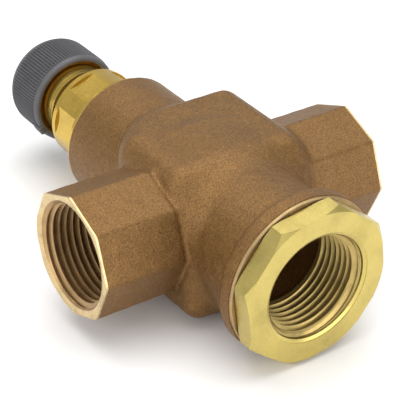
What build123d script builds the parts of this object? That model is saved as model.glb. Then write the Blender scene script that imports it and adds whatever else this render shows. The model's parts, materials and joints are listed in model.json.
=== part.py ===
from build123d import *
import os
import math

# Three way valve: cast bronze body, two collinear run ports and a branch port,
# a lift plug between two seats, a screwed bonnet and a screw-down hand cap.
#
# Working frame while modelling: millimetres, origin where the run axis meets
# the stem axis. +X is the run (port A at -X, port AB at +X), +Y is the stem
# axis (port B at -Y, hand cap at +Y), +Z is the normal of the flat pad.
# Every node is shifted at the end so that the frame's origin is the centre of
# the underside of the whole valve's box.

# ---------------------------------------------------------------- dimensions
RUN_HALF = 50.0          # run axis crossing to the face of port A / port AB
PORT_AF = 36.5           # octagonal port hubs, across flats
PORT_TILT = 0.0          # hub corners on the Y and Z axes
HUB_EASED_R = 18.6       # three of the eight corners are rounded to this
NPT_R = 16.60            # 1 in taper pipe thread, major radius at the face
NPT_LEN = 17.5           # threaded length
CSK_R = 17.84            # countersink at each port's mouth
CSK_DEPTH = 1.3

# central block: its side profile (y, z) carried along the run, cut to its
# plan outline (x, y); the front face leans back from the underside
BLOCK_PROFILE = [(-25.6, -22.5), (31.0, -22.5), (31.0, 22.6), (-12.5, 22.6), (-20.0, 0.0)]
BLOCK_PLAN = [(-22.8, -25.6), (27.5, -25.6), (27.5, 31.0), (-10.5, 31.0), (-22.8, 17.5)]
BLOCK_R = 8.0

BOSS_R = 20.7            # bonnet boss
BOSS_Y = 49.5
BOSS_BORE = 16.5

FLANGE_R = 25.4          # round collar behind the branch insert
FLANGE_Y = -43.9
FLANGE_T = 7.0
NECK_R = 22.6
INSERT_BORE = 20.0
INSERT_BORE_END = -32.0

UPPER_CHAMBER_R = 15.0
UPPER_CHAMBER_Y = (6.0, 33.0)
SEAT_R = 10.5            # both seats' opening
UPPER_WEB_Y = (2.0, 6.0)
MID_CHAMBER_Y = (-15.0, 2.0)
LOWER_WEB_Y = (-20.0, -15.0)
LOWER_WEB_BORE = 14.0
LOWER_CAVITY_R = 16.5

OCT_AF = 47.3            # octagon of the branch insert
OCT_ROT = 8.66           # degrees off square, as it tightened up
OCT_Y0 = -50.6
OCT_Y1 = -44.4
OCT_FACE_R = 23.95
OCT_CHAMFER = 2.1

STROKE = 6.5             # stem travel
THREAD_PITCH = 1.5       # actuator thread M28 x 1.5

STEM_R = 3.0
HEX_AF = 29.5
HEX_CORNER_R = 15.5
HEX_PHASE = 111.0        # degrees, direction of one flat's normal in XZ
HEX_END = 66.2           # milled flats stop here with a straight step
BONNET_NECK_R = 12.4
ACT_R = 13.10            # actuator thread, modelled as its plain core
BONNET_TOP = 88.0

CAP_R = 15.75
CAP_Y0 = 78.2
CAP_Y1 = 98.8
CAP_BORE = 14.4
CAP_COLLAR_Y = 80.3
CAP_COLLAR_R = 15.1
CAP_LIP_R = 13.75         # plastic lip that hides the brass insert's rim
INSERT_CAP_R = 13.14

PAD_R = 5.5

# ------------------------------------------------------------------- helpers
Y_MIN, Y_MAX = OCT_Y0, CAP_Y1
SHIFT = (0.0, -(Y_MIN + Y_MAX) / 2.0, FLANGE_R)


def ring(points):
    """Turned solid about the stem axis from (radius, y) corners."""
    face = make_face(Polyline(*[(r, y) for r, y in points], close=True))
    return revolve(face, axis=Axis.Y, revolution_arc=360)


def bar(r, y0, y1):
    """Solid cylinder along the stem axis."""
    return ring([(0, y0), (r, y0), (r, y1), (0, y1)])


def tube(r0, r1, y0, y1):
    return ring([(r0, y0), (r1, y0), (r1, y1), (r0, y1)])


def rod_x(r, x0, x1, y=0.0):
    """Solid cylinder along the run axis."""
    return Pos((x0 + x1) / 2.0, y, 0) * Rot(0, 90, 0) * Cylinder(r, abs(x1 - x0))


def prism_y(sides, across_flats, y0, y1, phase_deg):
    """Regular prism along the stem axis; phase is one flat's normal in XZ."""
    circ = across_flats / 2.0 / math.cos(math.pi / sides)
    pts = []
    for i in range(sides):
        a = math.radians(phase_deg) + math.pi / sides + 2 * math.pi * i / sides
        pts.append((circ * math.cos(a), y0, circ * math.sin(a)))
    face = Face(Wire.make_polygon([Vector(*p) for p in pts], close=True))
    return extrude(face, amount=y1 - y0, dir=(0, 1, 0))


def prism_x(across_flats, x0, x1):
    """Octagonal port hub along the run axis, corners on the Y and Z axes."""
    circ = across_flats / 2.0 / math.cos(math.pi / 8)
    pts = []
    for i in range(8):
        a = 2 * math.pi * i / 8 + math.radians(PORT_TILT)
        pts.append((x0, circ * math.cos(a), circ * math.sin(a)))
    face = Face(Wire.make_polygon([Vector(*p) for p in pts], close=True))
    return extrude(face, amount=x1 - x0, dir=(1, 0, 0))


def slanted(r, x0, y0, x1, y1):
    """Solid cylinder in the XY plane from one point to another."""
    length = math.hypot(x1 - x0, y1 - y0)
    ang = math.degrees(math.atan2(y1 - y0, x1 - x0))
    return (
        Pos((x0 + x1) / 2.0, (y0 + y1) / 2.0, 0)
        * Rot(0, 0, ang)
        * Rot(0, 90, 0)
        * Cylinder(r, length)
    )


nodes = {}

# ---------------------------------------------------------------- valve body
profile = Polygon(*BLOCK_PROFILE, align=None)
profile = fillet(profile.vertices(), radius=BLOCK_R)
plan = Polygon(*BLOCK_PLAN, align=None)
plan = fillet(plan.vertices(), radius=BLOCK_R)
along = extrude(Plane.YZ * profile, amount=40.0, both=True)
upright = extrude(Plane.XY * plan, amount=40.0, both=True)
block = along & upright
hubs = prism_x(PORT_AF, -RUN_HALF, RUN_HALF)
# the corners towards +Y and -Z are cast round, the others are sharp
easing = Rot(0, 90, 0) * Cylinder(HUB_EASED_R, 2 * RUN_HALF)
side = Rot(45, 0, 0) * Pos(0, 0, 40.0 - 7.0) * Box(2 * RUN_HALF, 80.0, 80.0)
hubs = (hubs & easing) + (hubs & side)
boss = ring(
    [
        (0, 10.0),
        (BOSS_R, 10.0),
        (BOSS_R, BOSS_Y - 0.8),
        (BOSS_R - 0.8, BOSS_Y),
        (0, BOSS_Y),
    ]
)
collar = ring(
    [
        (0, FLANGE_Y),
        (FLANGE_R - 0.6, FLANGE_Y),
        (FLANGE_R, FLANGE_Y + 0.6),
        (FLANGE_R, FLANGE_Y + FLANGE_T - 2.2),
        (FLANGE_R - 0.9, FLANGE_Y + FLANGE_T - 0.8),
        (NECK_R, FLANGE_Y + FLANGE_T + 0.8),
        (NECK_R, -14.0),
        (0, -14.0),
    ]
)
casting = block + hubs + boss + collar

# bonnet bore and chambers
casting -= bar(BOSS_BORE, UPPER_CHAMBER_Y[1], BOSS_Y + 1.0)
casting -= bar(UPPER_CHAMBER_R, UPPER_CHAMBER_Y[0], UPPER_CHAMBER_Y[1])
casting -= bar(SEAT_R, UPPER_WEB_Y[0] - 0.5, UPPER_WEB_Y[1] + 0.5)
casting -= bar(UPPER_CHAMBER_R, MID_CHAMBER_Y[0], MID_CHAMBER_Y[1])
casting -= bar(LOWER_WEB_BORE, LOWER_WEB_Y[0] - 0.5, LOWER_WEB_Y[1] + 0.5)
casting -= bar(LOWER_CAVITY_R, INSERT_BORE_END, LOWER_WEB_Y[0])
casting -= bar(INSERT_BORE, FLANGE_Y - 1.0, INSERT_BORE_END)
# seat lips
casting += tube(SEAT_R, SEAT_R + 1.0, UPPER_WEB_Y[0] - 0.4, UPPER_WEB_Y[0] + 0.5)

# run ports: countersink, thread bore, and the passages to the chambers
for s in (-1, 1):
    csk = Cone(NPT_R, CSK_R, CSK_DEPTH)
    csk = Pos(s * (RUN_HALF - CSK_DEPTH / 2.0), 0, 0) * Rot(0, 90 * s, 0) * csk
    casting -= csk
    casting -= rod_x(NPT_R, s * (RUN_HALF - NPT_LEN), s * (RUN_HALF + 1.0))
    casting -= rod_x(14.0, s * 27.5, s * (RUN_HALF - NPT_LEN + 1.0))
casting -= slanted(6.5, -31.0, 3.7, -8.0, 14.5)
casting -= slanted(8.4, 31.0, -4.2, 8.0, -6.6)
nodes["valve_body"] = casting

# ------------------------------------------------------------- branch insert
oct_body = prism_y(8, OCT_AF, OCT_Y0, OCT_Y1, 90.0 + OCT_ROT)
oct_turned = ring(
    [
        (0, OCT_Y0),
        (OCT_FACE_R, OCT_Y0),
        (OCT_FACE_R + 2.4, OCT_Y0 + OCT_CHAMFER),
        (OCT_FACE_R + 2.4, OCT_Y1 - 0.7),
        (OCT_FACE_R + 0.6, OCT_Y1),
        (0, OCT_Y1),
    ]
)
insert = oct_body & oct_turned
insert += bar(INSERT_BORE - 0.02, OCT_Y1 - 0.2, INSERT_BORE_END - 0.3)
insert -= bar(NPT_R, OCT_Y0 - 1.0, OCT_Y0 + NPT_LEN)
insert -= bar(14.9, OCT_Y0 + NPT_LEN - 1.0, INSERT_BORE_END + 1.0)
insert -= ring(
    [
        (0, OCT_Y0 - 0.01),
        (CSK_R, OCT_Y0 - 0.01),
        (CSK_R, OCT_Y0 + 0.12),
        (CSK_R - 0.24, OCT_Y0 + 0.15),
        (NPT_R + 0.15, OCT_Y0 + 0.6),
        (NPT_R, OCT_Y0 + 1.2),
        (0, OCT_Y0 + 1.2),
    ]
)
nodes["port_b_insert"] = insert
nodes["insert_gasket"] = tube(INSERT_BORE, 22.8, FLANGE_Y - 0.5, FLANGE_Y)

# ----------------------------------------------------- removable lower seat
seat = ring(
    [
        (SEAT_R, -21.6),
        (SEAT_R + 1.0, -22.4),
        (15.8, -22.4),
        (15.8, -20.5),
        (LOWER_WEB_BORE - 0.01, -20.5),
        (LOWER_WEB_BORE - 0.01, -15.0),
        (SEAT_R + 1.2, -15.0),
        (SEAT_R + 0.9, -14.6),
        (SEAT_R, -14.6),
    ]
)
for k in range(4):
    seat -= Rot(0, 45 + 90 * k, 0) * Pos(15.2, -21.9, 0) * Box(3.0, 1.6, 2.6)
nodes["lower_seat_ring"] = seat
nodes["seat_ring_gasket"] = tube(14.05, 15.7, -20.5, -20.0)

# -------------------------------------------------------------------- bonnet
hex_turned = ring(
    [
        (0, 52.0),
        (HEX_CORNER_R, 52.0),
        (HEX_CORNER_R, 68.0),
        (HEX_CORNER_R - 0.3, 68.6),
        (14.3, 69.6),
        (13.5, 70.7),
        (12.9, 71.8),
        (12.5, 73.0),
        (BONNET_NECK_R, 74.5),
        (BONNET_NECK_R, 79.5),
        (ACT_R - 0.4, 80.0),
        (ACT_R, 80.4),
        (ACT_R, BONNET_TOP - 0.8),
        (ACT_R - 0.8, BONNET_TOP),
        (0, BONNET_TOP),
    ]
)
hexagon = prism_y(6, HEX_AF, 50.5, HEX_END, HEX_PHASE)
above_hex = bar(HEX_CORNER_R + 2, HEX_END, BONNET_TOP + 1)
bonnet = hex_turned & (hexagon + above_hex)
bonnet += ring(
    [
        (0, 50.3),
        (19.0, 50.3),
        (19.4, 50.7),
        (19.4, 51.6),
        (19.0, 52.0),
        (14.0, 52.6),
        (0, 52.6),
    ]
)
bonnet += bar(BOSS_BORE - 0.02, 34.0, 50.4)
# inside: guide, packing, gland thread and spring chamber
bonnet -= bar(5.5, 33.0, 41.0)
bonnet -= bar(3.3, 40.5, 44.0)
bonnet -= bar(5.6, 43.5, 50.2)
bonnet -= bar(8.0, 50.0, 56.5)
bonnet -= bar(8.6, 56.0, BONNET_TOP + 1.0)
bonnet -= ring([(0, 33.0), (13.0, 33.0), (11.5, 36.5), (0, 36.5)])
nodes["bonnet"] = bonnet
nodes["bonnet_gasket"] = tube(BOSS_BORE, 19.2, BOSS_Y, 50.3)

nodes["stem_guide_bush"] = ring(
    [
        (STEM_R + 0.05, 36.6),
        (7.2, 36.6),
        (7.2, 38.0),
        (5.5, 38.0),
        (5.5, 41.0),
        (STEM_R + 0.05, 41.0),
    ]
)
# the bush's head sits in a counterbore of the bonnet
nodes["bonnet"] -= bar(7.2, 36.0, 38.0)

nodes["stem_o_ring_lower"] = ring(
    [(STEM_R + 0.05, 43.7), (5.6, 43.7), (5.6, 45.9), (STEM_R + 0.05, 45.9)]
)
nodes["o_ring_spacer"] = tube(STEM_R + 0.2, 5.55, 46.0, 47.4)
nodes["stem_o_ring_upper"] = ring(
    [(STEM_R + 0.05, 47.5), (5.6, 47.5), (5.6, 49.7), (STEM_R + 0.05, 49.7)]
)
gland = ring(
    [
        (STEM_R + 0.08, 50.0),
        (7.98, 50.0),
        (7.98, 55.9),
        (4.7, 55.9),
        (4.7, 54.4),
        (STEM_R + 0.08, 54.4),
    ]
)
for k in range(2):
    gland -= Rot(0, 180 * k, 0) * Pos(7.0, 55.3, 0) * Box(2.6, 1.4, 1.8)
nodes["packing_gland"] = gland
nodes["stem_wiper_ring"] = tube(STEM_R + 0.05, 4.65, 54.4, 55.8)

# ---------------------------------------------------------------- stem group
stem = ring(
    [
        (0, -12.0),
        (2.2, -12.0),
        (2.5, -11.7),
        (2.5, 1.9),
        (STEM_R, 1.9),
        (STEM_R, 77.9),
        (2.3, 77.9),
        (2.3, 78.9),
        (STEM_R, 78.9),
        (STEM_R, 91.5),
        (2.6, 91.9),
        (0, 91.9),
    ]
)
nodes["stem"] = stem
plug = ring(
    [
        (2.5, -6.9),
        (8.5, -6.9),
        (8.5, -8.2),
        (9.3, -8.2),
        (9.3, -6.9),
        (12.3, -6.9),
        (12.5, -6.6),
        (12.5, 0.1),
        (12.3, 0.4),
        (9.3, 0.4),
        (9.3, 1.7),
        (8.5, 1.7),
        (8.5, 0.4),
        (2.5, 0.4),
    ]
)
nodes["plug_disc"] = plug
nodes["upper_plug_seal"] = ring(
    [(9.35, 0.4), (12.2, 0.4), (12.2, 1.1), (11.9, 1.5), (9.35, 1.5)]
)
nodes["lower_plug_seal"] = ring(
    [(9.35, -6.9), (12.2, -6.9), (12.2, -7.6), (11.9, -8.0), (9.35, -8.0)]
)
nodes["plug_washer"] = tube(2.5, 8.3, 0.4, 1.85)
nodes["plug_clamp_washer"] = tube(2.5, 8.3, -8.3, -6.9)
nut = prism_y(6, 8.0, -11.3, -8.3, 0.0) - bar(2.5, -12.0, -7.0)
nodes["plug_nut"] = nut
nodes["spring_retainer"] = ring(
    [
        (STEM_R, 76.4),
        (4.6, 76.4),
        (4.6, 76.9),
        (8.2, 76.9),
        (8.2, 77.8),
        (STEM_R, 77.8),
    ]
)
clip = tube(2.35, 4.9, 77.95, 78.85) - Pos(4.0, 78.4, 0) * Box(5.0, 2.0, 3.4)
nodes["stem_clip"] = clip
nodes["stem_button"] = ring(
    [
        (STEM_R, 88.6),
        (4.0, 88.6),
        (4.3, 88.9),
        (4.3, 94.4),
        (3.7, 95.0),
        (0, 95.0),
        (0, 91.9),
        (STEM_R, 91.9),
    ]
)

# return spring between the gland's washer and the stem's retainer
nodes["spring_washer"] = tube(STEM_R + 0.3, 8.3, 56.0, 56.8)
WIRE = 1.3
SPRING_R = 6.4
SPRING_Y0 = 56.8 + WIRE / 2 + 0.05
SPRING_Y1 = 76.9 - WIRE / 2 - 0.05
TURNS = 6.5
helix = Helix(
    pitch=(SPRING_Y1 - SPRING_Y0) / TURNS, height=SPRING_Y1 - SPRING_Y0, radius=SPRING_R
)
start = helix @ 0
section = Plane(origin=start, z_dir=helix % 0) * Circle(WIRE / 2)
spring = sweep(section, path=helix, is_frenet=True)
nodes["return_spring"] = Pos(0, SPRING_Y0, 0) * Rot(-90, 0, 0) * spring

# ------------------------------------------------------------------ hand cap
cap = ring(
    [
        (CAP_BORE, CAP_Y0 + 0.6),
        (CAP_LIP_R, CAP_Y0 + 0.6),
        (CAP_LIP_R, CAP_Y0),
        (14.7, CAP_Y0),
        (CAP_COLLAR_R, CAP_Y0 + 0.4),
        (15.5, CAP_Y0 + 1.1),
        (15.5, CAP_COLLAR_Y - 0.25),
        (15.2, CAP_COLLAR_Y),
        (CAP_R, CAP_COLLAR_Y + 0.4),
        (CAP_R, 93.0),
        (15.42, 94.3),
        (14.95, 95.2),
        (14.4, 96.1),
        (13.8, 97.0),
        (13.1, 97.7),
        (12.2, 98.2),
        (11.2, 98.5),
        (9.5, CAP_Y1),
        (0, CAP_Y1),
        (0, 97.0),
        (5.6, 97.0),
        (5.6, 95.05),
        (6.4, 95.05),
        (6.4, 94.25),
        (5.6, 94.25),
        (5.6, 93.6),
        (7.8, 93.6),
        (7.8, 96.6),
        (11.4, 96.6),
        (12.6, 95.6),
        (13.4, 94.2),
        (13.4, 93.2),
        (CAP_BORE, 93.2),
    ]
)
# small index tab on the collar
tab_dir = math.radians(-149.0)
tab = (
    Rot(0, -math.degrees(tab_dir), 0)
    * Pos(CAP_R - 0.35, (CAP_Y0 + CAP_COLLAR_Y) / 2.0 + 1.4, 0)
    * Box(1.9, 4.4, 3.0)
)
tab = fillet(tab.edges().filter_by(Axis.Y), radius=0.6)
cap += tab
nodes["cap_shell"] = cap
nodes["cap_thread_insert"] = ring(
    [
        (INSERT_CAP_R, 79.3),
        (INSERT_CAP_R + 0.5, 78.8),
        (CAP_BORE, 78.8),
        (CAP_BORE, 93.2),
        (INSERT_CAP_R, 93.2),
    ]
)
nodes["cap_thrust_pad"] = ring(
    [(0, 95.1), (PAD_R - 0.3, 95.1), (PAD_R, 95.4), (PAD_R, 96.9), (0, 96.9)]
)
pad_ring = tube(4.7, 6.35, 94.3, 95.0) - Pos(5.5, 94.6, 0) * Box(3.0, 2.0, 2.2)
nodes["pad_snap_ring"] = pad_ring

# --------------------------------------------------------------------- write
os.makedirs("parts", exist_ok=True)
for name, solid in nodes.items():
    moved = Pos(*SHIFT) * solid
    if isinstance(moved, ShapeList):
        moved = Compound(children=list(moved))
    export_step(moved, os.path.join("parts", name + ".step"))
print(len(nodes), "nodes, shift", SHIFT)
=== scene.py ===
import json
import math

import bmesh
import bpy
import numpy as np
from mathutils import Matrix, Vector


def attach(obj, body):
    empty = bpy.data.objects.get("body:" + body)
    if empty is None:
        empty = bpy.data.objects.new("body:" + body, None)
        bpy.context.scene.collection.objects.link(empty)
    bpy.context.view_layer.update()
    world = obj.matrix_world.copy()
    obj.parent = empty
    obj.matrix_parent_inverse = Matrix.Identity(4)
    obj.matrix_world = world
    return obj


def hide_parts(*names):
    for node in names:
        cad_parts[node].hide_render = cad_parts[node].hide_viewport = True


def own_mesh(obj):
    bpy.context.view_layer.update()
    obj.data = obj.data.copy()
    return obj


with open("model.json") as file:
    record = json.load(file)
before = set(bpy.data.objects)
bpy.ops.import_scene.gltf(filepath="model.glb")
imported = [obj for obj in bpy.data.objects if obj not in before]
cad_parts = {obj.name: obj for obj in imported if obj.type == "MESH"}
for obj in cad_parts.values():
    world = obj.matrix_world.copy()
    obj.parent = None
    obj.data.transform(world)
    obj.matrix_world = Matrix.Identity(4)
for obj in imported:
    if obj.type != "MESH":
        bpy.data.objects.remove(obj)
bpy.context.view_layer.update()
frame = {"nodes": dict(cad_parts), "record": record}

# The work is done in millimetres about the crossing of the run axis and the
# stem axis: +X along the run, +Y towards the hand cap, +Z out of the pad.
mounts = {m["name"]: m for m in frame["record"]["mounts"]}
AX = Vector(mounts["port_ab"]["pos_m"])
Y0, Z0 = AX.y * 1000.0, AX.z * 1000.0


# ------------------------------------------------------------------ materials
def new_mat(name):
    m = bpy.data.materials.new(name)
    m.use_nodes = True
    nt = m.node_tree
    nt.nodes.clear()
    out = nt.nodes.new("ShaderNodeOutputMaterial")
    bs = nt.nodes.new("ShaderNodeBsdfPrincipled")
    nt.links.new(bs.outputs[0], out.inputs[0])
    return m, nt, bs


def coords(nt, loc=(0, 0, 0), scale=(1, 1, 1)):
    tc = nt.nodes.new("ShaderNodeTexCoord")
    mp = nt.nodes.new("ShaderNodeMapping")
    mp.inputs["Location"].default_value = loc
    mp.inputs["Scale"].default_value = scale
    nt.links.new(tc.outputs["Object"], mp.inputs["Vector"])
    return mp.outputs[0]


def noise(nt, vec, scale, detail=3.0, rough=0.55, dist=0.0):
    n = nt.nodes.new("ShaderNodeTexNoise")
    n.inputs["Scale"].default_value = scale
    n.inputs["Detail"].default_value = detail
    n.inputs["Roughness"].default_value = rough
    n.inputs["Distortion"].default_value = dist
    nt.links.new(vec, n.inputs["Vector"])
    return n.outputs["Fac"]


def ramp(nt, fac, stops):
    r = nt.nodes.new("ShaderNodeValToRGB")
    els = r.color_ramp.elements
    while len(els) < len(stops):
        els.new(0.5)
    for e, (p, c) in zip(els, stops):
        e.position = p
        e.color = (*c, 1.0) if len(c) == 3 else c
    nt.links.new(fac, r.inputs["Fac"])
    return r.outputs["Color"]


def maprange(nt, val, a, b, c, d):
    m = nt.nodes.new("ShaderNodeMapRange")
    m.inputs["From Min"].default_value = a
    m.inputs["From Max"].default_value = b
    m.inputs["To Min"].default_value = c
    m.inputs["To Max"].default_value = d
    nt.links.new(val, m.inputs["Value"])
    return m.outputs["Result"]


def mixc(nt, fac, a, b, mode="MIX"):
    m = nt.nodes.new("ShaderNodeMix")
    m.data_type = "RGBA"
    m.blend_type = mode
    if isinstance(fac, (int, float)):
        m.inputs["Factor"].default_value = fac
    else:
        nt.links.new(fac, m.inputs["Factor"])
    for sock, v in ((m.inputs["A"], a), (m.inputs["B"], b)):
        pass
    ia = [s for s in m.inputs if s.name == "A" and s.type == "RGBA"][0]
    ib = [s for s in m.inputs if s.name == "B" and s.type == "RGBA"][0]
    for sock, v in ((ia, a), (ib, b)):
        if isinstance(v, tuple):
            sock.default_value = (*v, 1.0)
        else:
            nt.links.new(v, sock)
    return [s for s in m.outputs if s.type == "RGBA"][0]


def madd(nt, a, b, op="ADD"):
    m = nt.nodes.new("ShaderNodeMath")
    m.operation = op
    for i, v in enumerate((a, b)):
        if isinstance(v, (int, float)):
            m.inputs[i].default_value = v
        else:
            nt.links.new(v, m.inputs[i])
    return m.outputs[0]


def bump(nt, bs, height, strength, distance):
    b = nt.nodes.new("ShaderNodeBump")
    b.inputs["Strength"].default_value = strength
    b.inputs["Distance"].default_value = distance
    nt.links.new(height, b.inputs["Height"])
    nt.links.new(b.outputs[0], bs.inputs["Normal"])


def setv(bs, **kw):
    for k, v in kw.items():
        bs.inputs[k.replace("_", " ")].default_value = v


def cast_bronze(name="cast_bronze_blasted", dark=1.0, metal=0.62):
    m, nt, bs = new_mat(name)
    v = coords(nt)
    big = noise(nt, v, 70.0, 3.0)
    mid = noise(nt, v, 420.0, 4.0, 0.6)
    fine = noise(nt, v, 2300.0, 2.0, 0.7)
    c1 = ramp(nt, big, [
        (0.30, (0.190 * dark, 0.098 * dark, 0.029 * dark)),
        (0.52, (0.202 * dark, 0.105 * dark, 0.032 * dark)),
        (0.74, (0.216 * dark, 0.115 * dark, 0.037 * dark)),
    ])
    c2 = ramp(nt, fine, [
        (0.34, (0.55, 0.52, 0.48)),
        (0.50, (1.0, 1.0, 1.0)),
        (0.66, (1.45, 1.43, 1.38)),
    ])
    c = mixc(nt, 0.85, c1, c2, "MULTIPLY")
    c3 = ramp(nt, mid, [(0.35, (0.88, 0.86, 0.83)), (0.62, (1.06, 1.06, 1.06))])
    c = mixc(nt, 0.5, c, c3, "MULTIPLY")
    nt.links.new(c, bs.inputs["Base Color"])
    nt.links.new(maprange(nt, mid, 0.3, 0.7, 0.40, 0.56), bs.inputs["Roughness"])
    setv(bs, Metallic=metal)
    h = madd(nt, madd(nt, fine, 0.6, "MULTIPLY"), madd(nt, mid, 0.8, "MULTIPLY"))
    bump(nt, bs, h, 0.8, 0.00022)
    return m


def turned_brass(name, axis, colour=(0.83, 0.62, 0.27), rough=(0.22, 0.36), pitch=0.00035, metal=0.95, depth=0.35):
    """Turned face: fine concentric tool marks about the given axis."""
    m, nt, bs = new_mat(name)
    v = coords(nt, loc=(0, -AX.y, -AX.z))
    w = nt.nodes.new("ShaderNodeTexWave")
    w.wave_type = "RINGS"
    w.rings_direction = axis
    w.inputs["Scale"].default_value = 2 * math.pi / (20 * pitch)
    w.inputs["Distortion"].default_value = 0.6
    w.inputs["Detail"].default_value = 2.0
    w.inputs["Detail Scale"].default_value = 3.0
    nt.links.new(v, w.inputs["Vector"])
    mid = noise(nt, v, 260.0, 4.0, 0.6)
    fine = noise(nt, v, 1900.0, 2.0, 0.6)
    c1 = ramp(nt, mid, [
        (0.30, tuple(x * 0.80 for x in colour)),
        (0.50, colour),
        (0.75, tuple(min(1.0, x * 1.12) for x in colour)),
    ])
    c = mixc(nt, 0.35, c1, ramp(nt, w.outputs["Fac"], [(0.0, (0.72, 0.70, 0.66)), (1.0, (1.0, 1.0, 1.0))]), "MULTIPLY")
    nt.links.new(c, bs.inputs["Base Color"])
    nt.links.new(maprange(nt, fine, 0.3, 0.7, rough[0], rough[1]), bs.inputs["Roughness"])
    setv(bs, Metallic=metal)
    h = madd(nt, madd(nt, w.outputs["Fac"], 0.5, "MULTIPLY"), madd(nt, mid, 0.7, "MULTIPLY"))
    bump(nt, bs, h, depth, 0.00008)
    return m


def milled_brass(name, colour, rough=(0.2, 0.34), streak=(600.0, 40.0, 600.0), metal=0.95, depth=0.3, wob=0.5):
    """Milled or drawn bar: fine straight streaks with soft waviness."""
    m, nt, bs = new_mat(name)
    v = coords(nt, scale=streak)
    streaks = noise(nt, v, 3.0, 4.0, 0.65)
    v2 = coords(nt)
    big = noise(nt, v2, 110.0, 3.0, 0.55)
    fine = noise(nt, v2, 2200.0, 2.0, 0.6)
    c1 = ramp(nt, big, [
        (0.28, tuple(x * 0.82 for x in colour)),
        (0.50, colour),
        (0.78, tuple(min(1.0, x * 1.1) for x in colour)),
    ])
    c = mixc(nt, 0.3, c1, ramp(nt, streaks, [(0.3, (0.74, 0.72, 0.68)), (0.65, (1.0, 1.0, 1.0))]), "MULTIPLY")
    nt.links.new(c, bs.inputs["Base Color"])
    nt.links.new(maprange(nt, fine, 0.3, 0.7, rough[0], rough[1]), bs.inputs["Roughness"])
    setv(bs, Metallic=metal)
    h = madd(nt, madd(nt, streaks, 0.5, "MULTIPLY"), madd(nt, big, wob, "MULTIPLY"))
    bump(nt, bs, h, depth, 0.00015)
    return m


def plain(name, colour, rough, metal=0.0, grain=1200.0, amount=0.12, depth=0.2, dist=0.0001, **extra):
    """Moulded or ground part: colour and roughness that vary a little, with a fine surface grain."""
    m, nt, bs = new_mat(name)
    v = coords(nt)
    big = noise(nt, v, 180.0, 3.0)
    fine = noise(nt, v, grain, 3.0, 0.65)
    c = ramp(nt, big, [
        (0.3, tuple(x * (1 - amount) for x in colour)),
        (0.7, tuple(min(1.0, x * (1 + amount)) for x in colour)),
    ])
    nt.links.new(c, bs.inputs["Base Color"])
    nt.links.new(maprange(nt, fine, 0.3, 0.7, max(0.02, rough - 0.07), rough + 0.07), bs.inputs["Roughness"])
    setv(bs, Metallic=metal, **extra)
    bump(nt, bs, fine, depth, dist)
    return m


M = {
    "cast": cast_bronze(),
    "cast_inner": cast_bronze("cast_bronze_inner", 1.0, 0.4),
    "face_x": turned_brass("turned_bronze_face", "X", (0.66, 0.50, 0.26)),
    "face_y": turned_brass("turned_bronze_rim", "Y", (0.42, 0.29, 0.14), rough=(0.34, 0.46), metal=0.8),
    "thread_x": turned_brass("cut_thread_bronze", "X", (0.46, 0.30, 0.14), rough=(0.32, 0.42), pitch=0.0006, metal=0.8, depth=0.2),
    "thread_y": turned_brass("cut_thread_brass", "Y", (0.50, 0.37, 0.13), rough=(0.30, 0.40), pitch=0.0006, metal=0.8, depth=0.2),
    "insert": milled_brass("milled_yellow_brass", (0.60, 0.48, 0.15), rough=(0.26, 0.34), depth=0.16),
    "bonnet": milled_brass("polished_yellow_brass", (0.62, 0.42, 0.085), rough=(0.14, 0.24), depth=0.22),
    "cap_brass": turned_brass("cap_ring_brass", "Y", (0.46, 0.32, 0.11), rough=(0.3, 0.4)),
    "machined_brass": milled_brass("machined_brass_part", (0.80, 0.58, 0.24)),
    "stainless_steel": plain("stainless_ground", (0.62, 0.62, 0.61), 0.28, 1.0),
    "spring_steel": plain("spring_wire", (0.46, 0.46, 0.47), 0.32, 1.0),
    "fibre_gasket": plain("pressed_fibre", (0.45, 0.38, 0.26), 0.8, 0.0, 800.0, 0.25, 0.5),
    "black_rubber": plain("moulded_rubber", (0.02, 0.02, 0.02), 0.6),
    "ptfe": plain("white_ptfe", (0.82, 0.81, 0.77), 0.45),
    "grey_plastic": plain("grey_moulded_plastic", (0.088, 0.085, 0.091), 0.5, 0.0, 1500.0, 0.10, 0.25, 0.00012),
}

slot_of = {s["node"]: s["material_slot"] for s in frame["record"]["subparts"]}
special = {"port_b_insert": "insert", "bonnet": "bonnet", "cap_thread_insert": "cap_brass"}
for n, o in frame["nodes"].items():
    key = special.get(n, {"cast_bronze": "cast"}.get(slot_of[n], slot_of[n]))
    o.data.materials.clear()
    o.data.materials.append(M[key])


# -------------------------------------------------------------------- helpers
def piece(name, verts, faces, mats, body, face_mats=None, replaces=(), angle=32.0, merge=0.0):
    """Mesh from millimetres about the axes' crossing, riding on a body."""
    v = np.asarray(verts, float) * 0.001
    v = v + np.array([0.0, AX.y, AX.z])
    me = bpy.data.meshes.new(name)
    me.from_pydata(v.tolist(), [], [tuple(f) for f in faces])
    for m in mats:
        me.materials.append(m)
    if face_mats is not None:
        me.polygons.foreach_set("material_index", np.asarray(face_mats, np.int32))
    bm = bmesh.new()
    bm.from_mesh(me)
    if merge > 0:
        bmesh.ops.remove_doubles(bm, verts=bm.verts, dist=merge)
        bmesh.ops.dissolve_degenerate(bm, edges=bm.edges, dist=1e-7)
    bmesh.ops.recalc_face_normals(bm, faces=bm.faces)
    bm.to_mesh(me)
    bm.free()
    me.polygons.foreach_set("use_smooth", np.ones(len(me.polygons), bool))
    me.set_sharp_from_angle(angle=math.radians(angle))
    me.update()
    o = bpy.data.objects.new(name, me)
    bpy.context.scene.collection.objects.link(o)
    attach(o, body)
    if replaces:
        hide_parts(*replaces)
    return o


def along_x(sign, face):
    """Maps (depth from the face, angle, radius) to a bore along X whose face is at sign * face."""
    return lambda a, t, r: (sign * (face - a), r * np.cos(t), r * np.sin(t) * -sign)


def along_y(face):
    """The same for a bore along Y, open towards -Y."""
    return lambda a, t, r: (r * np.cos(t), face + a, r * np.sin(t))


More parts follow.
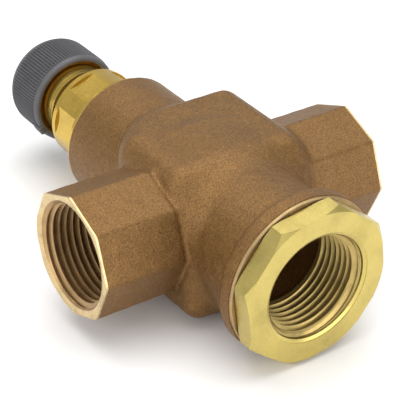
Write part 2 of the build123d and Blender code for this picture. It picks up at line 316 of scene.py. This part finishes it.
def lattice(rows, n, place, closed=True):
    """Rows of (a, r), each a number or an array over the n angles, lofted into a closed tube."""
    t = np.arange(n) * 2 * math.pi / n
    pts = []
    for a, r in rows:
        a = np.broadcast_to(np.asarray(a, float), (n,))
        r = np.broadcast_to(np.asarray(r, float), (n,))
        x, y, z = place(a, t, r)
        pts.append(np.stack(np.broadcast_arrays(x, y, z), 1))
    verts = np.concatenate(pts)
    faces = []
    m = len(rows)
    for k in range(m if closed else m - 1):
        k2 = (k + 1) % m
        for j in range(n):
            j2 = (j + 1) % n
            faces.append((k * n + j, k2 * n + j, k2 * n + j2, k * n + j2))
    return verts, faces


PITCH = 25.4 / 11.5
T_DEPTH = 1.70
PROFILE_U = (0.0, 0.04, 0.18, 0.32, 0.46, 0.54, 0.68, 0.82, 0.96)


def thread_h(ph):
    ph = np.mod(ph, 1.0)
    d = np.minimum(ph, 1.0 - ph)      # 0 at the root, 0.5 at the crest
    return np.clip((0.46 - d) / (0.46 - 0.04), 0, 1)


def bore_radius(a, t, a1, major, cone0, cone_a, cone_slope, hand=1.0):
    """Taper thread with a lead-in cone at its mouth and a run-out at its end."""
    h = thread_h(a / PITCH - hand * t / (2 * math.pi))
    crest = major - a / 32.0 - T_DEPTH
    s = np.clip((a1 - a) / 2.4, 0, 1)
    s = s * s * (3 - 2 * s)
    r = crest + T_DEPTH * h * s
    cone = cone0 - np.maximum(a - cone_a, 0) * cone_slope
    return np.maximum(r, cone)


def threaded(name, place, mats, body, outer_rows, a0, a1, radius, back_rows, n=144, hand=1.0, face_mat=None):
    """Closed solid: outer_rows lead to the bore's mouth at a0, the thread runs to a1, back_rows return outside."""
    t = np.arange(n) * 2 * math.pi / n
    verts, faces, fm = [], [], []

    def add_row(a, r):
        a = np.broadcast_to(np.asarray(a, float), (n,)).copy()
        r = np.broadcast_to(np.asarray(r, float), (n,)).copy()
        x, y, z = place(a, t, r)
        base = sum(len(v) for v in verts)
        verts.append(np.stack(np.broadcast_arrays(x, y, z), 1))
        return base

    starts = [add_row(a, r) for a, r in outer_rows]
    for b0, b1 in zip(starts[:-1], starts[1:]):
        for j in range(n):
            j2 = (j + 1) % n
            faces.append((b0 + j, b1 + j, b1 + j2, b0 + j2))
            fm.append(0)
    u = len(PROFILE_U)
    turns = int(math.ceil((a1 - a0) / PITCH)) + 2
    k0 = int(math.floor(a0 / PITCH)) - 1
    ladder = [(k0 + q // u + PROFILE_U[q % u]) * PITCH for q in range(turns * u + 2 * u)]
    rows = []
    for c in ladder:
        a = np.clip(c + hand * PITCH * t / (2 * math.pi), a0, a1)
        rows.append(add_row(a, radius(a, t)))
    # first ring: the mouth itself
    mouth = add_row(a0, radius(np.full(n, a0), t))
    if starts:
        b0 = starts[-1]
        for j in range(n):
            j2 = (j + 1) % n
            faces.append((b0 + j, mouth + j, mouth + j2, b0 + j2))
            fm.append(0)
    R = len(rows)
    step = u if hand > 0 else -u
    for k in range(R - 1):
        for j in range(n):
            if j < n - 1:
                q = (rows[k] + j, rows[k + 1] + j, rows[k + 1] + j + 1, rows[k] + j + 1)
            else:
                ka = min(max(k + step, 0), R - 1)
                kb = min(max(k + 1 + step, 0), R - 1)
                q = (rows[k] + j, rows[k + 1] + j, rows[kb], rows[ka])
            faces.append(q)
            fm.append(1)
    end = add_row(a1, radius(np.full(n, a1), t))
    last = end
    for a, r in back_rows:
        b1 = add_row(a, r)
        for j in range(n):
            j2 = (j + 1) % n
            faces.append((last + j, b1 + j, b1 + j2, last + j2))
            fm.append(1)
        last = b1
    first = starts[0] if starts else mouth
    for j in range(n):
        j2 = (j + 1) % n
        faces.append((last + j, first + j, first + j2, last + j2))
        fm.append(0 if starts else 1)
    return piece(name, np.concatenate(verts), faces, mats, body, face_mats=fm, angle=24.0, merge=2e-6)


def oct_radius(t, ap, cut):
    """Octagon's radius with corners at 0, 45 ... degrees, the corners eased to the radius cut."""
    d = np.mod(t, math.pi / 4) - math.pi / 8
    return np.minimum(ap / np.cos(d), cut)


# ------------------------------------------------------------ cast body (SDF)
def smin(a, b, k):
    h = np.clip(0.5 + 0.5 * (b - a) / k, 0, 1)
    return b * (1 - h) + a * h - k * h * (1 - h)


def smax(a, b, k):
    return -smin(-a, -b, k)


def inset(pts, r):
    """Convex polygon moved inwards by r (points anticlockwise)."""
    out, n = [], len(pts)
    for i in range(n):
        p0, p1, p2 = (np.array(pts[(i + k) % n], float) for k in (-1, 0, 1))
        d0, d1 = p1 - p0, p2 - p1
        d0 /= np.linalg.norm(d0)
        d1 /= np.linalg.norm(d1)
        n0, n1 = np.array([-d0[1], d0[0]]), np.array([-d1[1], d1[0]])
        a = np.array([n0, n1])
        b = np.array([n0 @ p1 + r, n1 @ p1 + r])
        out.append(tuple(np.linalg.solve(a, b)))
    return out


def sd_poly(x, y, pts):
    """Signed distance to a convex polygon, points anticlockwise."""
    best, side = None, None
    n = len(pts)
    for i in range(n):
        (ax, ay), (bx, by) = pts[i], pts[(i + 1) % n]
        ex, ey = bx - ax, by - ay
        wx, wy = x - ax, y - ay
        h = np.clip((wx * ex + wy * ey) / (ex * ex + ey * ey), 0, 1)
        d = (wx - ex * h) ** 2 + (wy - ey * h) ** 2
        s = (ey * wx - ex * wy) / math.hypot(ex, ey)
        best = d if best is None else np.minimum(best, d)
        side = s if side is None else np.maximum(side, s)
    return np.where(side > 0, np.sqrt(best), -np.sqrt(best))


def oct2(y, z, ap, rnd=0.6):
    d = None
    for t in (22.5, 67.5, 112.5, 157.5):
        q = np.abs(y * math.cos(math.radians(t)) + z * math.sin(math.radians(t))) - ap
        d = q if d is None else smax(d, q, rnd)
    return d


def cyly(x, z, y, r, y0, y1, rnd=0.0):
    q = np.hypot(x, z) - r + rnd
    w = np.abs(y - (y0 + y1) / 2) - (y1 - y0) / 2 + rnd
    return np.sqrt(np.maximum(q, 0) ** 2 + np.maximum(w, 0) ** 2) + np.minimum(np.maximum(q, w), 0) - rnd


def capsule_cyl(x, y, z, p0, p1, r):
    """Round passage in the XY plane from p0 to p1."""
    ax, ay = p0
    ex, ey = p1[0] - ax, p1[1] - ay
    L = math.hypot(ex, ey)
    ux, uy = ex / L, ey / L
    s = (x - ax) * ux + (y - ay) * uy
    c = -(x - ax) * uy + (y - ay) * ux
    return np.maximum(np.hypot(c, z) - r, np.abs(s - L / 2) - L / 2)


PLAN_PTS = [(-22.8, -25.6), (27.5, -25.6), (27.5, 31.0), (-10.5, 31.0), (-22.8, 17.5)]
PROF_PTS = [(-25.6, -22.5), (31.0, -22.5), (31.0, 22.6), (-9.0, 22.6), (-16.4, 14.5), (-20.0, 0.0)]
EDGES = {r: (inset(PLAN_PTS, r), inset(PROF_PTS, r)) for r in (6.0, 7.8)}


def block(x, y, z, r):
    plan, prof = EDGES[r]
    a = sd_poly(x, y, plan)
    b = sd_poly(y, z, prof)
    return np.sqrt(np.maximum(a, 0) ** 2 + np.maximum(b, 0) ** 2) + np.minimum(np.maximum(a, b), 0) - r


def octagon_hub(y, z):
    """Three corners are eased round, the other five stay sharp."""
    eased = np.minimum(np.hypot(y, z) - 18.6, (y - z) / 1.4142 - 7.0)
    return np.maximum(oct2(y, z, 18.25), eased)


def outer(x, y, z):
    w = np.clip((z + 6.0) / 12.0, 0, 1)
    w = w * w * (3 - 2 * w)
    blk = block(x, y, z, 6.0) * (1 - w) + block(x, y, z, 7.8) * w
    blk = smax(blk, x * 0.731 + z * 0.682 - 32.6, 3.0)
    hub = octagon_hub(y, z)
    # behind, the left hub runs on into the boss
    back = np.clip((y - 5.0) / 6.0, 0, 1)
    back = back * back * (3 - 2 * back)
    hub_l = smax(hub, x + 21.5 - 5.0 * back, 1.0)
    hub_r = np.maximum(hub, -x + 15)
    boss = cyly(x, z, y, 20.7, 0, 54.0)
    neck = cyly(x, z, y, 21.5, -40, 10)
    flange = cyly(x, z, y, 25.4, -48.0, -37.6, 1.6)
    d = smin(blk, neck, 6.0)
    d = smin(d, boss, 2.0)
    d = smin(d, flange, 3.0)
    d = smin(d, hub_l, 1.5)
    d = smin(d, hub_r, 1.5)
    # witness groove where the left hub leaves the block
    d = d + 0.45 * (1 - back) * np.exp(-((x + 22.7) / 0.8) ** 2) * np.exp(-(hub / 1.4) ** 2)
    # the casting is never quite flat
    return d + 0.04 * np.sin(x * 0.31 + 1.3) * np.sin(y * 0.27 + 0.4) * np.sin(z * 0.33 + 2.1) + 0.04 * np.sin(x * 0.9 + y * 0.7) * np.sin(z * 0.8 - y * 0.5)


def cavity(x, y, z):
    c = cyly(x, z, y, 16.6, 33.0, 60.0)
    c = np.minimum(c, cyly(x, z, y, 15.0, 6.0, 33.5, 1.0))
    c = np.minimum(c, cyly(x, z, y, 10.6, 1.0, 7.0))
    c = np.minimum(c, cyly(x, z, y, 15.0, -15.0, 2.0, 1.0))
    c = np.minimum(c, cyly(x, z, y, 14.1, -21.0, -14.0))
    c = np.minimum(c, cyly(x, z, y, 16.6, -32.5, -20.0))
    c = np.minimum(c, cyly(x, z, y, 20.05, -60.0, -31.9))
    c = smin(c, capsule_cyl(x, y, z, (-31.0, 3.7), (-8.0, 14.5), 6.5), 1.0)
    c = smin(c, capsule_cyl(x, y, z, (31.0, -4.2), (8.0, -6.6), 8.4), 1.0)
    rad = np.hypot(y, z)
    c = np.minimum(c, np.maximum(rad - 16.98, np.maximum(32.4 - np.abs(x), np.abs(x) - 60)))
    c = np.minimum(c, np.maximum(rad - 14.0, np.maximum(27.5 - np.abs(x), np.abs(x) - 33)))
    return c


def solid(x, y, z):
    return np.maximum(outer(x, y, z), -cavity(x, y, z))


CUT_X, CUT_Y0, CUT_Y1 = 49.3, -42.9, 48.9


def surface_nets(f, lo, hi, h):
    ax = [np.arange(lo[i], hi[i] + h, h) for i in range(3)]
    X, Y, Z = ax[0][:, None, None], ax[1][None, :, None], ax[2][None, None, :]
    V = np.broadcast_to(f(X, Y, Z), (len(ax[0]), len(ax[1]), len(ax[2]))).astype(np.float32)
    S = V < 0
    n = np.array(V.shape) - 1
    cnt = np.zeros(tuple(n), np.int8)
    for dx in (0, 1):
        for dy in (0, 1):
            for dz in (0, 1):
                cnt += S[dx:dx + n[0], dy:dy + n[1], dz:dz + n[2]]
    act = (cnt > 0) & (cnt < 8)
    idx = np.argwhere(act)
    num = -np.ones(tuple(n), np.int64)
    num[act] = np.arange(len(idx))
    pos = np.zeros((len(idx), 3))
    w = np.zeros(len(idx))
    cor = [(a, b, c) for a in (0, 1) for b in (0, 1) for c in (0, 1)]
    for p in cor:
        for d in range(3):
            if p[d] == 1:
                continue
            q = list(p)
            q[d] = 1
            vp = V[idx[:, 0] + p[0], idx[:, 1] + p[1], idx[:, 2] + p[2]]
            vq = V[idx[:, 0] + q[0], idx[:, 1] + q[1], idx[:, 2] + q[2]]
            cr = (vp < 0) != (vq < 0)
            t = np.where(cr, vp / np.where(cr, vp - vq, 1), 0)
            pt = np.array(p, float)[None, :] + 0
            pt = np.repeat(pt, len(idx), 0)
            pt[:, d] = t
            pos[cr] += pt[cr]
            w[cr] += 1
    pos = pos / w[:, None]
    P = np.stack([ax[i][idx[:, i]] + pos[:, i] * h for i in range(3)], 1)
    cellc = np.stack([ax[i][idx[:, i]] + h / 2 for i in range(3)], 1)
    e = 0.02
    for _ in range(3):
        fv = f(P[:, 0], P[:, 1], P[:, 2])
        g = np.stack([(f(*(P + e * np.eye(3)[i]).T) - f(*(P - e * np.eye(3)[i]).T)) / (2 * e) for i in range(3)], 1)
        gg = np.maximum((g * g).sum(1), 0.25)
        P = P - np.clip(fv / gg, -0.4 * h, 0.4 * h)[:, None] * g
        P = np.clip(P, cellc - 0.75 * h, cellc + 0.75 * h)
    faces = []
    for d in range(3):
        a, b = [k for k in range(3) if k != d]
        sl0 = [slice(1, -1)] * 3
        sl1 = [slice(1, -1)] * 3
        sl0[d], sl1[d] = slice(0, -1), slice(1, None)
        s0, s1 = S[tuple(sl0)], S[tuple(sl1)]
        ch = np.argwhere(s0 != s1)
        up = s0[tuple(ch.T)]
        base = ch.copy()
        base[:, a] += 1
        base[:, b] += 1
        c = []
        for da, db in ((-1, -1), (0, -1), (0, 0), (-1, 0)):
            k = base.copy()
            k[:, a] += da
            k[:, b] += db
            c.append(num[tuple(k.T)])
        q = np.stack(c, 1)
        flip = up if d != 1 else ~up
        q[~flip] = q[~flip][:, ::-1]
        faces.append(q)
    return P, np.concatenate(faces)


def stitch(bm, plane_axis, value, mat):
    """Closes the flat cut between its outer and inner boundary with a ring of triangles."""
    eps = 1e-7
    es = [e for e in bm.edges if e.is_boundary and all(abs(v.co[plane_axis] - value) < 1e-6 for v in e.verts)]
    if not es:
        return
    link = {}
    for e in es:
        for v in e.verts:
            link.setdefault(v, []).append(e)
    loops, used = [], set()
    for e in es:
        if e in used:
            continue
        loop, cur, v = [], e, e.verts[0]
        while cur not in used:
            used.add(cur)
            loop.append(v)
            v = cur.other_vert(v)
            nxt = [k for k in link[v] if k not in used]
            if not nxt:
                break
            cur = nxt[0]
        loops.append(loop)
    loops.sort(key=len, reverse=True)
    i0, i1 = [k for k in range(3) if k != plane_axis]
    c = (0.0, 0.0, 0.0)

    def ang(v):
        p = [v.co[i0], v.co[i1]]
        off = {0: (AX.y, AX.z), 1: (0.0, AX.z), 2: (0.0, AX.y)}[plane_axis]
        return math.atan2(p[1] - off[1], p[0] - off[0])

    big = [lp for lp in loops if len(lp) > 30][:2]
    if len(big) < 2:
        return
    A, B = (sorted(lp, key=ang) for lp in big)
    i = j = 0
    na, nb = len(A), len(B)
    while i < na or j < nb:
        a, b = A[i % na], B[j % nb]
        ta = ang(A[(i + 1) % na]) + (2 * math.pi if i + 1 >= na else 0)
        tb = ang(B[(j + 1) % nb]) + (2 * math.pi if j + 1 >= nb else 0)
        if (ta <= tb and i < na) or j >= nb:
            tri, i = (a, A[(i + 1) % na], b), i + 1
        else:
            tri, j = (a, B[(j + 1) % nb], b), j + 1
        if len(set(tri)) == 3:
            try:
                f = bm.faces.new(tri)
                f.material_index = mat
            except ValueError:
                pass


H = 0.7
P, Q = surface_nets(solid, (-52.0, -46.5, -26.9), (52.1, 51.5, 26.9), H)
me = bpy.data.meshes.new("body_casting")
me.from_pydata((P * 0.001 + np.array([0, AX.y, AX.z])).tolist(), [], Q.tolist())
me.materials.append(M["cast"])
me.materials.append(M["cast_inner"])
bm = bmesh.new()
bm.from_mesh(me)
for axis, value, sign in ((0, CUT_X, 1), (0, -CUT_X, -1), (1, CUT_Y0, -1), (1, CUT_Y1, 1)):
    co = Vector((0, AX.y, AX.z))
    co[axis] += value * 0.001
    no = Vector((0, 0, 0))
    no[axis] = sign
    geom = bm.verts[:] + bm.edges[:] + bm.faces[:]
    bmesh.ops.bisect_plane(bm, geom=geom, plane_co=co, plane_no=no, clear_outer=True, dist=1e-8)
    stitch(bm, axis, co[axis], 0)
bmesh.ops.dissolve_degenerate(bm, edges=bm.edges, dist=1e-8)
bmesh.ops.recalc_face_normals(bm, faces=bm.faces)
inner = []
for f in bm.faces:
    c = f.calc_center_median()
    p = np.array([c.x * 1000, c.y * 1000 - Y0, c.z * 1000 - Z0])
    f.smooth = True
    inner.append(p)
pp = np.array(inner)
cav = cavity(pp[:, 0], pp[:, 1], pp[:, 2])
out = outer(pp[:, 0], pp[:, 1], pp[:, 2])
for f, c_, o_ in zip(bm.faces, cav, out):
    f.material_index = 1 if abs(c_) < abs(o_) else 0
bm.to_mesh(me)
bm.free()
me.set_sharp_from_angle(angle=math.radians(60))
body = bpy.data.objects.new("body_casting", me)
bpy.context.scene.collection.objects.link(body)
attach(body, "root")
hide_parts("valve_body")

# --------------------------------------------------- machined ends of the run
n = 144
tt = np.arange(n) * 2 * math.pi / n
for nm, sg in (("port_a_end", -1), ("port_ab_end", 1)):
    ey, ez = np.cos(tt), -sg * np.sin(tt)
    ro = oct_radius(tt, 18.25, np.where((ez - ey) / 1.4142 * 18.25 < -7.0, 18.6, 19.62))
    rad = lambda a, t: bore_radius(a, t, 17.5, 16.6, 16.5, 0.5, 0.9)
    threaded(
        nm, along_x(sg, 50.0), [M["face_x"], M["thread_x"]], "root",
        [(0.7, ro), (0.10, ro), (0.0, ro - 0.12), (0.0, 17.93), (0.03, 17.88), (0.03, 17.80), (0.02, 17.74), (0.5, 16.62)],
        0.5, 17.5, rad,
        [(17.5, 16.95), (0.7, 16.95)], n=n,
    )

# thread of the branch insert, seated in its plain bore
rad_b = lambda a, t: bore_radius(a, t, 17.5, 16.6, 16.58, 1.2, 0.9)
threaded(
    "port_b_thread", along_y(-50.6), [M["thread_y"], M["thread_y"]], "root",
    [], 1.2, 17.5, rad_b, [(17.5, 16.6)], n=n,
)

# machined rim of the collar and of the bonnet boss
v, f = lattice([(0, 20.1), (0, 24.75), (0.15, 24.95), (1.0, 25.1), (1.0, 20.1)], 160, along_y(-43.9))
piece("collar_rim", v, f, [M["face_y"]], "root", angle=25)
v, f = lattice([(0, 16.62), (0, 20.3), (-0.2, 20.5), (-0.6, 20.62), (-0.6, 16.62)], 160, along_y(49.5))
piece("boss_rim", v, f, [M["face_y"]], "root", angle=25)

# ------------------------------------------------------------------ hand cap
RIBS, PER = 96, 6
nc = RIBS * PER
rib = np.tile(np.array([0.0, 0.55, 1.0, 1.0, 0.55, 0.0]), RIBS)


def caprow(y, r, depth=0.0):
    return (y, r - depth * (1 - rib))


rows = [
    (78.8, 14.4), (78.8, 13.85), (78.72, 13.76), (78.34, 13.76), (78.22, 13.9), (78.2, 14.2), (78.22, 14.6), (78.34, 14.9), (78.6, 15.12),
    (79.0, 15.3), (79.4, 15.44), (79.8, 15.48), (80.05, 15.42), (80.18, 15.25), (80.25, 15.0), (80.42, 15.0), (80.5, 15.2),
    caprow(80.55, 15.42, 0.25), caprow(80.75, 15.67, 0.5), caprow(81.2, 15.75, 0.6), caprow(84.0, 15.75, 0.6), caprow(88.0, 15.75, 0.6),
    caprow(91.0, 15.75, 0.6), caprow(93.0, 15.75, 0.6), caprow(93.7, 15.61, 0.58), caprow(94.3, 15.40, 0.55), caprow(95.2, 14.93, 0.48), caprow(96.1, 14.38, 0.38),
    caprow(97.0, 13.78, 0.24), caprow(97.5, 13.3, 0.1), (97.8, 12.9), (98.2, 12.15), (98.5, 11.15), (98.68, 10.3), (98.75, 9.8), (98.70, 9.5), (98.52, 9.3),
    (98.42, 8.9), (98.42, 6.0), (98.42, 2.0), (98.42, 0.02),
    (97.0, 0.02), (97.0, 5.6), (95.05, 5.6), (95.05, 6.4), (94.25, 6.4), (94.25, 5.6), (93.6, 5.6), (93.6, 7.8), (96.6, 7.8), (96.6, 11.4), (95.6, 12.6), (94.2, 13.4), (93.2, 13.4), (93.2, 14.4),
]
v, f = lattice(rows, nc, along_y(0.0))
cap = piece("cap_ribbed_shell", v, f, [M["grey_plastic"]], "hand_cap", replaces=["cap_shell"], angle=40)

# index tab of the collar
tb = bmesh.new()
bmesh.ops.create_cube(tb, size=1.0)
bmesh.ops.scale(tb, vec=(1.9, 4.2, 3.0), verts=tb.verts)
bmesh.ops.bevel(tb, geom=tb.edges[:], offset=0.55, segments=4, affect="EDGES", profile=0.5)
td = math.radians(-149.0)
tm = Matrix.Translation((0, AX.y, AX.z)) @ Matrix.Scale(0.001, 4) @ Matrix.Rotation(-td, 4, "Y") @ Matrix.Translation((15.4, 80.0, 0))
bmesh.ops.transform(tb, matrix=tm, verts=tb.verts)
mt = bpy.data.meshes.new("cap_index_tab")
for ff in tb.faces:
    ff.smooth = True
tb.to_mesh(mt)
tb.free()
mt.materials.append(M["grey_plastic"])
tab = bpy.data.objects.new("cap_index_tab", mt)
bpy.context.scene.collection.objects.link(tab)
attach(tab, "hand_cap")

# ------------------------------------------------- return spring as a wire coil
WIRE, SR, S0, S1, TURNS = 1.3, 6.4, 57.5, 76.2, 6.5
ns, nw = 260, 10
rows_v, faces = [], []
for i in range(ns + 1):
    u = i / ns
    a = 2 * math.pi * TURNS * u
    e = max(0.0, 1 - min(u, 1 - u) * TURNS)
    y = S0 + (S1 - S0) * u
    c = np.array([SR * math.cos(a), y, -SR * math.sin(a)])
    er = np.array([math.cos(a), 0, -math.sin(a)])
    ey = np.array([0, 1.0, 0])
    for k in range(nw):
        w = 2 * math.pi * k / nw
        rows_v.append(c + WIRE / 2 * (math.cos(w) * er + math.sin(w) * ey))
for i in range(ns):
    for k in range(nw):
        k2 = (k + 1) % nw
        faces.append((i * nw + k, (i + 1) * nw + k, (i + 1) * nw + k2, i * nw + k2))
faces.append(tuple(range(nw)))
faces.append(tuple(reversed(range(ns * nw, ns * nw + nw))))
spring = piece("return_spring_coil", rows_v, faces, [M["spring_steel"]], "root", replaces=["return_spring"])
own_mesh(spring)

# --------------------------------------------------------------------- stage
fm = bpy.data.meshes.new("floor")
s = 3.0
fm.from_pydata([(-s, -s, -0.0002), (s, -s, -0.0002), (s, s, -0.0002), (-s, s, -0.0002)], [], [(0, 1, 2, 3)])
floor = bpy.data.objects.new("floor", fm)
bpy.context.scene.collection.objects.link(floor)
mfl, ntf, bf = new_mat("pale_floor")
setv(bf, Roughness=0.9)
bf.inputs["Base Color"].default_value = (0.93, 0.93, 0.93, 1)
fm.materials.append(mfl)

world = bpy.data.worlds.new("studio")
bpy.context.scene.world = world
world.use_nodes = True
bg = world.node_tree.nodes["Background"]
bg.inputs["Color"].default_value = (1, 1, 1, 1)
bg.inputs["Strength"].default_value = 0.66


def area(name, loc, target, size, power, colour=(1, 1, 1)):
    ld = bpy.data.lights.new(name, "AREA")
    ld.shape = "RECTANGLE"
    ld.size, ld.size_y = size
    ld.energy = power
    ld.color = colour
    o = bpy.data.objects.new(name, ld)
    bpy.context.scene.collection.objects.link(o)
    o.location = loc
    o.rotation_euler = (Vector(target) - Vector(loc)).to_track_quat("-Z", "Y").to_euler()
    return o


tgt = (0, AX.y + 0.02, 0.02)
area("key_top", (0.05, 0.12, 0.95), tgt, (1.2, 1.2), 9.0)
area("fill_left", (-0.8, -0.2, 0.35), tgt, (0.8, 0.6), 2.6)
area("front_low", (0.2, -0.85, 0.22), tgt, (0.8, 0.4), 2.6)

# -------------------------------------------------------------------- camera
cd = bpy.data.cameras.new("cam")
cam = bpy.data.objects.new("cam", cd)
bpy.context.scene.collection.objects.link(cam)
cd.sensor_width = 36.0
cd.lens = 144.43
cd.clip_start, cd.clip_end = 0.01, 20.0
cam.matrix_world = Matrix((
    (0.8180, 0.2847, -0.4998, -0.2432),
    (-0.5744, 0.4509, -0.6832, -0.3500),
    (0.0309, 0.8459, 0.5324, 0.2831),
    (0, 0, 0, 1),
))
bpy.context.scene.camera = cam
bpy.context.scene.view_settings.view_transform = "Standard"
bpy.context.scene.view_settings.look = "None"
